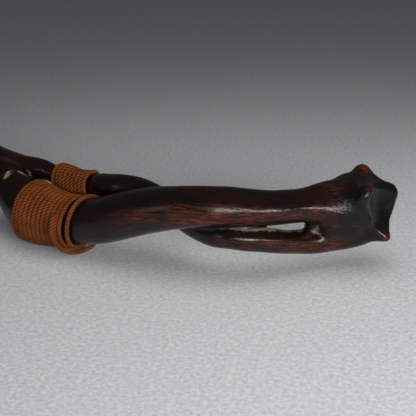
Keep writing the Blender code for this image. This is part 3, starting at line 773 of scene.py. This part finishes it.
twist = np.radians(at * FLUTE_TWIST)
away = stem_away * (1 - on_rear)[:, None] + rear_away * on_rear[:, None]
store(wood_mesh, "grain_run", np.column_stack((
    at * MM,
    away[:, 1] * np.cos(twist) + away[:, 2] * np.sin(twist),
    away[:, 2] * np.cos(twist) - away[:, 1] * np.sin(twist),
)))

crotch = np.exp(-(np.maximum(stem_height, 0) + np.maximum(rear_height, 0)) / CROTCH_REACH)
crotch = np.maximum(crotch * span(stem_at, *CROTCH_RUN), soft_place(points, *DUSTY_PLACE))
dusty_top = bands(rear_angle, rear_at, REAR_DUSTY) * on_rear
dust = np.maximum.reduce((cleft, dusty_top, CROTCH_DUST * crotch))
store(wood_mesh, "cleft", np.clip(dust, 0, 1.1))

rubbed = bands(stem_angle, stem_at, FRONT_RUBBED) * (1 - on_rear)
rubbed += bands(rear_angle, rear_at, REAR_RUBBED) * on_rear
for red_place in RED_PLACES:
    rubbed += soft_place(points, *red_place)
store(wood_mesh, "rubbed", np.clip(rubbed, 0, 1))
store(wood_mesh, "scratched", soft_place(points, *SCRATCHED_PLACE))
burl_at = np.linalg.norm(points - resting_place - np.array(BURL_CENTRE) * MM, axis=1) / MM
dark = np.clip((BURL_DARK - burl_at) / BURL_FADE, 0, 1)
dark *= np.clip((stem_at - BURL_FROM) / (BURL_FULL - BURL_FROM), 0, 1)
store(wood_mesh, "dark", dark)

wood = bpy.data.objects.new("carved_rootwood", wood_mesh)
bpy.context.scene.collection.objects.link(wood)


def feed(tree, socket, value):
    """Give a node's socket a value, or a link where the value is another node's socket."""
    if isinstance(value, bpy.types.NodeSocket):
        tree.links.new(value, socket)
    else:
        socket.default_value = value


def node(tree, kind, **sockets):
    """A node of a kind, with what its named or numbered sockets are fed with."""
    made = tree.nodes.new(kind)
    for name, value in sockets.items():
        key = int(name[1:]) if name[0] == "_" else name.replace("_", " ")
        feed(tree, made.inputs[key], value)
    return made


def bump(tree, strength, distance, height, *below):
    """Relief of a height, on top of the relief below it if there is one."""
    made = node(tree, "ShaderNodeBump", Strength=strength, Distance=distance, Height=height)
    for normal in below:
        tree.links.new(normal, made.inputs["Normal"])
    return made.outputs[0]


def attribute(tree, name, output="Fac"):
    made = tree.nodes.new("ShaderNodeAttribute")
    made.attribute_name = name
    return made.outputs[output]


def ramp(tree, value, *stops):
    """Value or colour ramp from (position, grey or colour) stops."""
    made = tree.nodes.new("ShaderNodeValToRGB")
    tree.links.new(value, made.inputs["Fac"])
    stops_made = made.color_ramp.elements
    while len(stops_made) < len(stops):
        stops_made.new(0.5)
    for stop, (place, colour) in zip(stops_made, stops):
        stop.position = place
        stop.color = (*colour, 1) if hasattr(colour, "__len__") else (colour, colour, colour, 1)
    return made.outputs["Color"]


def math_of(tree, operation, one, two, clamp=False):
    made = node(tree, "ShaderNodeMath", _0=one, _1=two)
    made.operation = operation
    made.use_clamp = clamp
    return made.outputs[0]


def mix_of(tree, factor, one, two):
    """Mix of two colours; each may be a colour or a socket."""
    made = tree.nodes.new("ShaderNodeMix")
    made.data_type = "RGBA"
    for socket, value in zip((made.inputs[0], made.inputs[6], made.inputs[7]), (factor, one, two)):
        feed(tree, socket, (*value, 1) if isinstance(value, tuple) else value)
    return made.outputs[2]


def stretched(tree, source, scale, detail=4.0, roughness=0.55):
    """Noise on coordinates that are stretched by a scale along each axis."""
    spread = node(tree, "ShaderNodeMapping", Vector=source, Scale=scale)
    return node(
        tree, "ShaderNodeTexNoise", Vector=spread.outputs[0], Scale=1.0, Detail=detail,
        Roughness=roughness,
    ).outputs["Fac"]


BLACKENED = (0.0032, 0.0024, 0.0020)
DARK_RED = (0.010, 0.0017, 0.0011)
RUBBED_ORANGE = (0.14, 0.022, 0.0027)
DUST = (0.14, 0.105, 0.070)

rubbed_wood = bpy.data.materials.new("rubbed_rootwood")
rubbed_wood.use_nodes = True
tree = rubbed_wood.node_tree
shader = tree.nodes["Principled BSDF"]
grain = attribute(tree, "grain_run", "Vector")
place = tree.nodes.new("ShaderNodeTexCoord").outputs["Object"]
clouds = stretched(tree, grain, (45, 130, 130), detail=3)
streaks = stretched(tree, grain, (170, 1500, 1500), detail=5, roughness=0.65)
pores = stretched(tree, grain, (330, 2300, 2300), detail=3, roughness=0.6)
dry = stretched(tree, place, (420, 420, 420), detail=6, roughness=0.65)
red = ramp(tree, clouds, (0.42, 0.0), (0.62, 1.0))
red = math_of(tree, "SUBTRACT", red, attribute(tree, "dark"), clamp=True)
base = mix_of(tree, red, BLACKENED, DARK_RED)
figure = ramp(tree, streaks, (0.40, 0.0), (0.60, 1.0))
figure = math_of(tree, "MULTIPLY", figure, attribute(tree, "rubbed"))
figure = math_of(tree, "MULTIPLY", figure, ramp(tree, clouds, (0.34, 0.15), (0.56, 1.0)))
base = mix_of(tree, figure, base, RUBBED_ORANGE)
base = mix_of(tree, ramp(tree, pores, (0.50, 0.0), (0.58, 0.92)), base, BLACKENED)
dusty = math_of(tree, "SUBTRACT", attribute(tree, "cleft"), math_of(tree, "MULTIPLY", dry, 0.9))
dusty = ramp(tree, dusty, (0.0, 0.0), (0.25, 1.0))
base = mix_of(tree, dusty, base, DUST)
tree.links.new(base, shader.inputs["Base Color"])
rough_value = math_of(tree, "MULTIPLY", ramp(tree, streaks, (0.35, 0.0), (0.65, 1.0)), 0.34)
rough_value = math_of(tree, "ADD", 0.16, rough_value)
rough_dust = math_of(tree, "MULTIPLY", dusty, 0.5)
rough_value = math_of(tree, "ADD", rough_value, rough_dust, clamp=True)
tree.links.new(rough_value, shader.inputs["Roughness"])
shader.inputs["Specular IOR Level"].default_value = 0.12
shader.inputs["Coat Weight"].default_value = 0.65
shader.inputs["Coat Roughness"].default_value = 0.11
shader.inputs["Coat IOR"].default_value = 1.35
relief = bump(tree, 0.5, 0.2 * MM, streaks)
relief = bump(tree, 0.25, 0.3 * MM, dry, relief)
nicks = stretched(tree, place, (1500, 500, 900), detail=3)
nicks = math_of(tree, "MULTIPLY", nicks, attribute(tree, "scratched"))
relief = bump(tree, 0.6, 0.5 * MM, nicks, relief)
tree.links.new(relief, shader.inputs["Normal"])
tree.links.new(relief, shader.inputs["Coat Normal"])
wood_mesh.materials.clear()
wood_mesh.materials.append(rubbed_wood)

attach(wood, "root")
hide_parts("scepter_wood")

# The binding cord
# Brown twine of three plies laid up hard. It is wound on by hand under tension, its first end tucked in
# under the fork and its last end brought up over the front winding, and nothing else holds it.
# The plies, the length of one twist, and the grain of the mesh along and round each ply
PLIES = 3
PLY_RADIUS = 0.41 * MM
PLY_OFFSET = 0.49 * MM
LAY = 4.2 * MM
CORD_STEP = 0.36 * MM
PLY_SIDES = 8
# The last end: length that is drawn together, how far, and how deep it is pressed down
END_LENGTH = 2.2 * MM
END_DRAWN = 0.42
END_PRESSED = 0.66 * MM
CORD_BROWN = (0.100, 0.022, 0.0030)
CORD_WORN = (0.175, 0.044, 0.0070)
CORD_FIBRE = (0.28, 0.083, 0.017)
CORD_PAINTED_SHADE = (0.006, 0.0022, 0.001)

line = bpy.data.curves.new("binding_route", "CURVE")
line.dimensions = "3D"
spline = line.splines.new("POLY")
spline.points.add(len(route) - 1)
for point, spot in zip(spline.points, route + resting_place):
    point.co = (*spot, 1.0)
guide = bpy.data.objects.new("binding_route", line)
bpy.context.scene.collection.objects.link(guide)

twine = bpy.data.materials.new("brown_twine")
twine.use_nodes = True
tree = twine.node_tree
shader = tree.nodes["Principled BSDF"]
lay = attribute(tree, "lay", "Vector")
fibres = stretched(tree, lay, (500, 2.4, 2.4), detail=4, roughness=0.6)
place = tree.nodes.new("ShaderNodeTexCoord").outputs["Object"]
worn = stretched(tree, place, (170, 170, 170), detail=4)
colour = mix_of(tree, ramp(tree, worn, (0.35, 0.0), (0.65, 1.0)), CORD_BROWN, CORD_WORN)
colour = mix_of(tree, ramp(tree, fibres, (0.45, 0.0), (0.75, 0.7)), colour, CORD_FIBRE)
# Painted shade: each ply is darkened where it lies nearer the cord's middle, where the plies meet one
# another
painted_ply_shade = ramp(tree, attribute(tree, "outward"), (0.68, 1.0), (0.95, 0.0))
colour = mix_of(tree, painted_ply_shade, colour, CORD_PAINTED_SHADE)
tree.links.new(colour, shader.inputs["Base Color"])
shader.inputs["Roughness"].default_value = 0.75
shader.inputs["Specular IOR Level"].default_value = 0.08
shader.inputs["Sheen Weight"].default_value = 0.02
shader.inputs["Sheen Roughness"].default_value = 0.5
tree.links.new(bump(tree, 0.5, 0.2 * MM, fibres), shader.inputs["Normal"])

lay_up = bpy.data.node_groups.new("lay_up_twine", "GeometryNodeTree")
lay_up.interface.new_socket("Geometry", in_out="INPUT", socket_type="NodeSocketGeometry")
LAY_UP = {
    "Plies": ("NodeSocketInt", PLIES),
    "Ply Radius": ("NodeSocketFloat", PLY_RADIUS),
    "Ply Offset": ("NodeSocketFloat", PLY_OFFSET),
    "Lay": ("NodeSocketFloat", LAY),
    "Step": ("NodeSocketFloat", CORD_STEP),
    "Sides": ("NodeSocketInt", PLY_SIDES),
    "Material": ("NodeSocketMaterial", twine),
}
for title, (kind, _) in LAY_UP.items():
    lay_up.interface.new_socket(title, in_out="INPUT", socket_type=kind)
lay_up.interface.new_socket("Geometry", in_out="OUTPUT", socket_type="NodeSocketGeometry")


def geo_vector(operation, one, two):
    made = node(lay_up, "ShaderNodeVectorMath", _0=one)
    made.operation = operation
    lay_up.links.new(two, made.inputs["Scale" if operation == "SCALE" else 1])
    return made.outputs[0]


given = lay_up.nodes.new("NodeGroupInput").outputs
fine = node(lay_up, "GeometryNodeResampleCurve", Curve=given["Geometry"])
fine.mode = "LENGTH"
lay_up.links.new(given["Step"], fine.inputs["Length"])
copies = node(
    lay_up, "GeometryNodeDuplicateElements", Geometry=fine.outputs[0], Amount=given["Plies"]
)
copies.domain = "SPLINE"
travel = lay_up.nodes.new("GeometryNodeSplineParameter").outputs["Length"]
share = math_of(lay_up, "DIVIDE", copies.outputs["Duplicate Index"], given["Plies"])
turns = math_of(lay_up, "ADD", math_of(lay_up, "DIVIDE", travel, given["Lay"]), share)
angle = math_of(lay_up, "MULTIPLY", turns, 2 * math.pi)
tangent = lay_up.nodes.new("GeometryNodeInputTangent").outputs[0]
upright = lay_up.nodes.new("GeometryNodeInputNormal").outputs[0]
side = geo_vector("CROSS_PRODUCT", tangent, upright)
offset = geo_vector(
    "ADD",
    geo_vector("SCALE", upright, math_of(lay_up, "COSINE", angle, 0.0)),
    geo_vector("SCALE", side, math_of(lay_up, "SINE", angle, 0.0)),
)
offset = geo_vector("SCALE", offset, given["Ply Offset"])
marked = node(
    lay_up, "GeometryNodeStoreNamedAttribute", Geometry=copies.outputs[0], Name="ply_travel",
    Value=travel,
)
marked.domain = "POINT"
laid = node(
    lay_up, "GeometryNodeSetPosition", Geometry=marked.outputs[0], Offset=offset
)
profile = node(
    lay_up, "GeometryNodeCurvePrimitiveCircle", Resolution=given["Sides"],
    Radius=given["Ply Radius"],
)
section = node(
    lay_up, "GeometryNodeStoreNamedAttribute", Geometry=profile.outputs[0], Name="ply_section"
)
section.data_type = "FLOAT_VECTOR"
section.domain = "POINT"
where = lay_up.nodes.new("GeometryNodeInputPosition").outputs[0]
lay_up.links.new(where, section.inputs["Value"])
plied = node(
    lay_up, "GeometryNodeCurveToMesh", Curve=laid.outputs[0], Profile_Curve=section.outputs[0],
    Fill_Caps=True,
)
real = node(lay_up, "GeometryNodeRealizeInstances", Geometry=plied.outputs[0])
dressed = node(
    lay_up, "GeometryNodeSetMaterial", Geometry=real.outputs[0], Material=given["Material"]
)
lay_up.links.new(dressed.outputs[0], lay_up.nodes.new("NodeGroupOutput").inputs[0])

winding = guide.modifiers.new("lay_up", "NODES")
winding.node_group = lay_up
for item in lay_up.interface.items_tree:
    if item.in_out == "INPUT" and item.name in LAY_UP:
        winding[item.identifier] = LAY_UP[item.name][1]
cord_mesh = settled(guide)
cord_mesh.name = "twisted_cord"
bpy.data.objects.remove(guide)

along = np.empty(len(cord_mesh.vertices), dtype=np.float32)
cord_mesh.attributes["ply_travel"].data.foreach_get("value", along)
flat = np.empty(len(cord_mesh.vertices) * 3, dtype=np.float32)
cord_mesh.attributes["ply_section"].data.foreach_get("vector", flat)
for name in ("ply_travel", "ply_section"):
    cord_mesh.attributes.remove(cord_mesh.attributes[name])
section_at = flat.reshape(-1, 3)[:, :2] / PLY_RADIUS
store(cord_mesh, "lay", np.column_stack((along, section_at)))
# The plies get painted shade where they meet, darker nearer the cord's middle, and the cut end is drawn
# together and pressed down
ends = mesh_points(cord_mesh)
path = route + resting_place
gone = np.concatenate(([0], np.cumsum(np.linalg.norm(np.diff(path, axis=0), axis=1))))
reached = along * gone[-1] / along.max()
middle = np.column_stack([np.interp(reached, gone, path[:, i]) for i in range(3)])
store(cord_mesh, "outward", np.linalg.norm(ends - middle, axis=1) / (PLY_OFFSET + PLY_RADIUS))
close = np.clip(1 - (along.max() - along) / END_LENGTH, 0, 1)
last = path[-1]
inward = stem_axis(np.array([FRONT_START]))[0][0] + resting_place - last
inward /= np.linalg.norm(inward)
ends += (close**2)[:, None] * ((last - ends) * END_DRAWN + inward * END_PRESSED)
cord_mesh.vertices.foreach_set("co", ends.astype(np.float32).ravel())
cord_mesh.update()
cord_mesh.shade_smooth()
cord = bpy.data.objects.new("twisted_cord", cord_mesh)
bpy.context.scene.collection.objects.link(cord)
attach(cord, "root")
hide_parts("binding_cord")

# The floor
# Plain pale grey paper on a flat table, with the faint felted tooth of uncoated stock.
FLOOR_REACH = 3.0
PAPER_DARK = (0.43, 0.43, 0.44)
PAPER_LIGHT = (0.66, 0.66, 0.67)

sheet = bpy.data.meshes.new("paper_floor")
shape = bmesh.new()
bmesh.ops.create_circle(shape, cap_ends=True, segments=96, radius=FLOOR_REACH)
shape.to_mesh(sheet)
shape.free()
floor = bpy.data.objects.new("paper_floor", sheet)
bpy.context.scene.collection.objects.link(floor)
paper = bpy.data.materials.new("grey_paper")
paper.use_nodes = True
tree = paper.node_tree
shader = tree.nodes["Principled BSDF"]
place = tree.nodes.new("ShaderNodeTexCoord").outputs["Object"]
tooth = stretched(tree, place, (620, 620, 620), detail=6, roughness=0.8)
mottle = mix_of(tree, ramp(tree, tooth, (0.36, 0.0), (0.64, 1.0)), PAPER_DARK, PAPER_LIGHT)
tree.links.new(mottle, shader.inputs["Base Color"])
shader.inputs["Roughness"].default_value = 0.9
shader.inputs["Specular IOR Level"].default_value = 0.2
tree.links.new(bump(tree, 0.3, 0.4 * MM, tooth), shader.inputs["Normal"])
sheet.materials.append(paper)

# Light and camera
# A soft box overhead that lights but isn't mirrored, a low strip in front that draws the bright lines
# on the polish, a small card at the left, a dim grey room and a long lens.
DIM_ROOM = (0.08, 0.08, 0.085, 1)
LENS = 85
SENSOR = 36
EYE = (204.97 * MM, -355.57 * MM, 157.3 * MM)
EYE_DOWN = math.radians(21)
EYE_YAW = math.radians(10.8)


def soft_box(name, spot, target, width, depth, power, spread=180, mirrored=True):
    lamp = bpy.data.lights.new(name, "AREA")
    lamp.shape = "RECTANGLE"
    lamp.size = width
    lamp.size_y = depth
    lamp.energy = power
    lamp.spread = math.radians(spread)
    lit = bpy.data.objects.new(name, lamp)
    lit.location = spot
    way = Vector(target) - Vector(spot)
    lit.rotation_mode = "QUATERNION"
    lit.rotation_quaternion = way.to_track_quat("-Z", "Y")
    lit.visible_glossy = mirrored
    bpy.context.scene.collection.objects.link(lit)


soft_box(
    "overhead_box", (0.21, -0.05, 0.30), (0.21, -0.05, 0.0), 0.36, 0.32, 0.25, spread=110,
    mirrored=False,
)
soft_box("front_box", (0.40, -0.46, 0.17), (0.17, -0.02, 0.015), 0.50, 0.09, 3.6)
soft_box("left_card", (-0.24, -0.40, 0.17), (0.10, -0.03, 0.015), 0.07, 0.05, 0.10)

world = bpy.data.worlds.new("dim_room")
world.use_nodes = True
world.node_tree.nodes["Background"].inputs["Color"].default_value = DIM_ROOM
bpy.context.scene.world = world

lens = bpy.data.cameras.new("product_camera")
lens.lens = LENS
lens.sensor_width = SENSOR
lens.clip_start = 0.01
camera = bpy.data.objects.new("product_camera", lens)
camera.location = EYE
look = Vector((
    -math.sin(EYE_YAW) * math.cos(EYE_DOWN),
    math.cos(EYE_YAW) * math.cos(EYE_DOWN),
    -math.sin(EYE_DOWN),
))
camera.rotation_mode = "QUATERNION"
camera.rotation_quaternion = look.to_track_quat("-Z", "Y")
bpy.context.scene.collection.objects.link(camera)
bpy.context.scene.camera = camera
bpy.context.scene.view_settings.view_transform = "Standard"
